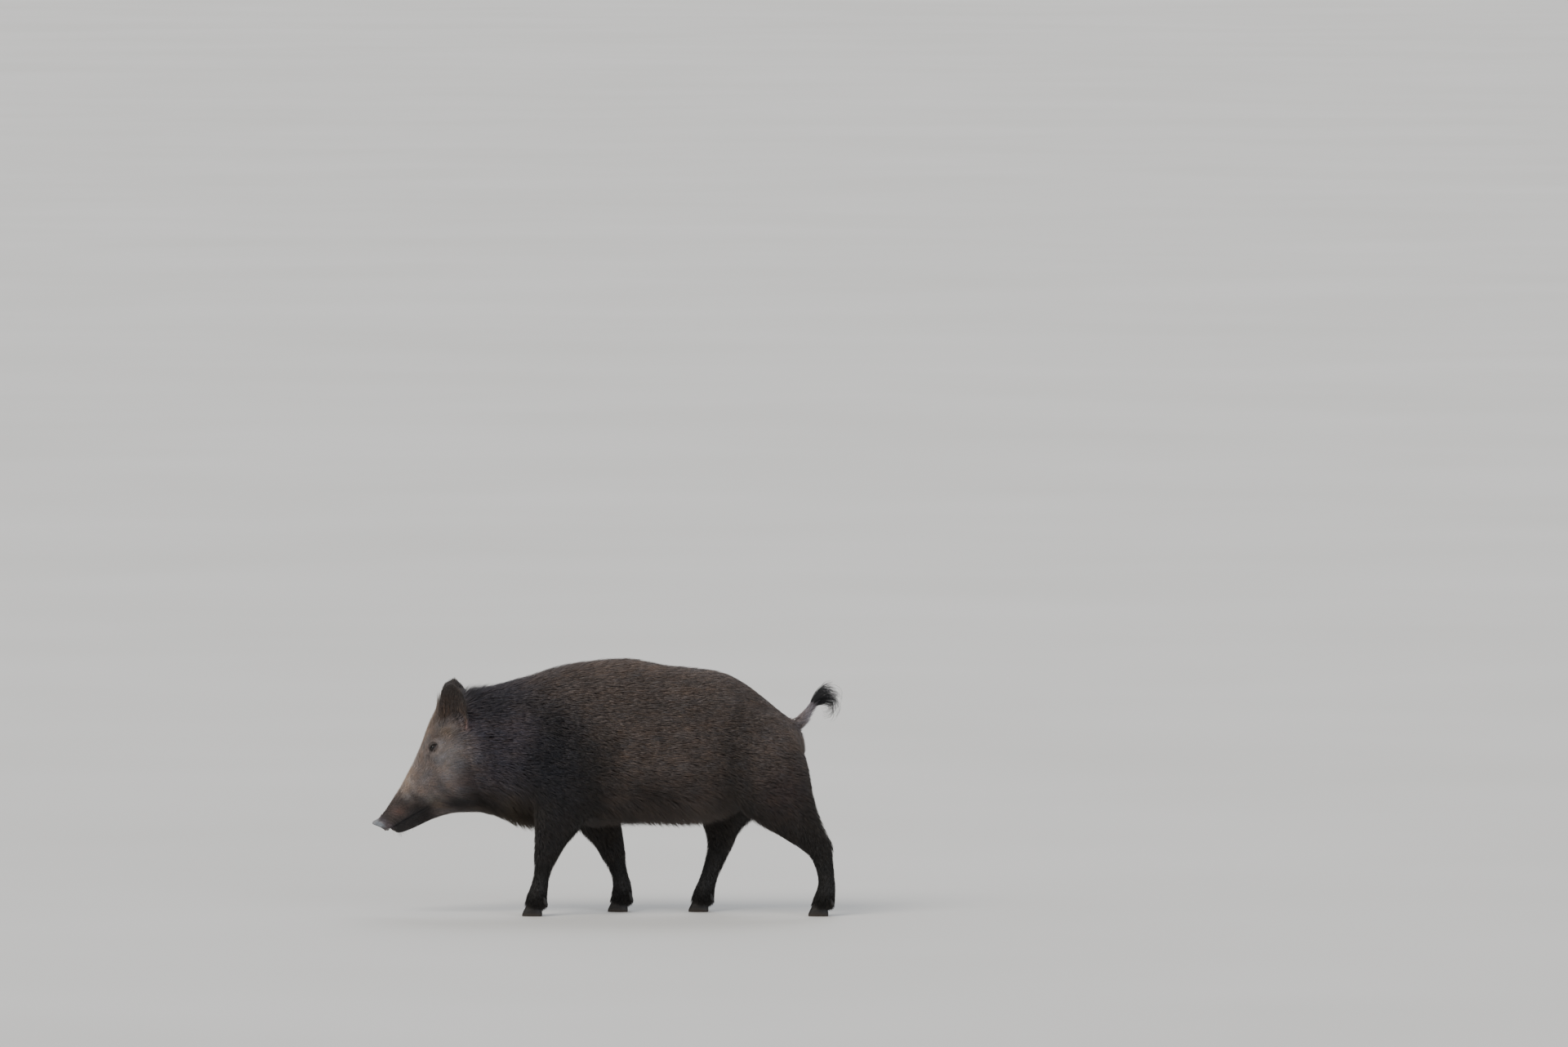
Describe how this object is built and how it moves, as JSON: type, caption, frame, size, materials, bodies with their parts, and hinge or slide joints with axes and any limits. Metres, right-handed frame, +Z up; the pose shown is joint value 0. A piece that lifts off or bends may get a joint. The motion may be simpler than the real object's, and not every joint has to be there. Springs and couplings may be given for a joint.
{
  "type": "wild boar",
  "caption": "Life-size still model of a walking wild boar, head low, tail raised, standing on its cloven hooves.",
  "frame": {"origin": "on the floor, at the middle of the underside of the whole boar's box", "axes": "+Z up, the snout points to -Y, the tail to +Y, and the boar's left side is +X"},
  "size_m": [0.3356, 1.3716, 0.7478],
  "materials": {
    "bristle_coat": "dense dark brown-black bristles with paler brown tips, matt with a faint sheen",
    "face_hair": "short grizzled grey-brown hair, matt",
    "leg_hair": "short black-brown hair lying flat, matt",
    "ear_hair": "thin dark hair, brown inside the ear, matt",
    "nose_skin": "bare grey-mauve skin, moist satin",
    "hoof_horn": "dark grey-brown hoof horn, satin, worn at the edge",
    "eye": "dark brown wet eye, glossy",
    "tail_hair": "long black hair, faint sheen"
  },
  "bodies": {
    "root": {"head": "face_hair", "left_ear": "ear_hair", "left_eye": "eye", "left_foreleg_inner_dewclaw": "hoof_horn", "left_foreleg_inner_hoof": "hoof_horn", "left_foreleg_lower": "leg_hair", "left_foreleg_outer_dewclaw": "hoof_horn", "left_foreleg_outer_hoof": "hoof_horn", "left_foreleg_upper": "bristle_coat", "left_hindleg_inner_dewclaw": "hoof_horn", "left_hindleg_inner_hoof": "hoof_horn", "left_hindleg_lower": "leg_hair", "left_hindleg_outer_dewclaw": "hoof_horn", "left_hindleg_outer_hoof": "hoof_horn", "left_hindleg_upper": "bristle_coat", "lower_jaw": "face_hair", "neck": "bristle_coat", "nose_disc": "nose_skin", "right_ear": "ear_hair", "right_eye": "eye", "right_foreleg_inner_dewclaw": "hoof_horn", "right_foreleg_inner_hoof": "hoof_horn", "right_foreleg_lower": "leg_hair", "right_foreleg_outer_dewclaw": "hoof_horn", "right_foreleg_outer_hoof": "hoof_horn", "right_foreleg_upper": "bristle_coat", "right_hindleg_inner_dewclaw": "hoof_horn", "right_hindleg_inner_hoof": "hoof_horn", "right_hindleg_lower": "leg_hair", "right_hindleg_outer_dewclaw": "hoof_horn", "right_hindleg_outer_hoof": "hoof_horn", "right_hindleg_upper": "bristle_coat", "tail": "bristle_coat", "tail_tuft": "tail_hair", "trunk": "bristle_coat"}
  },
  "joints": []
}
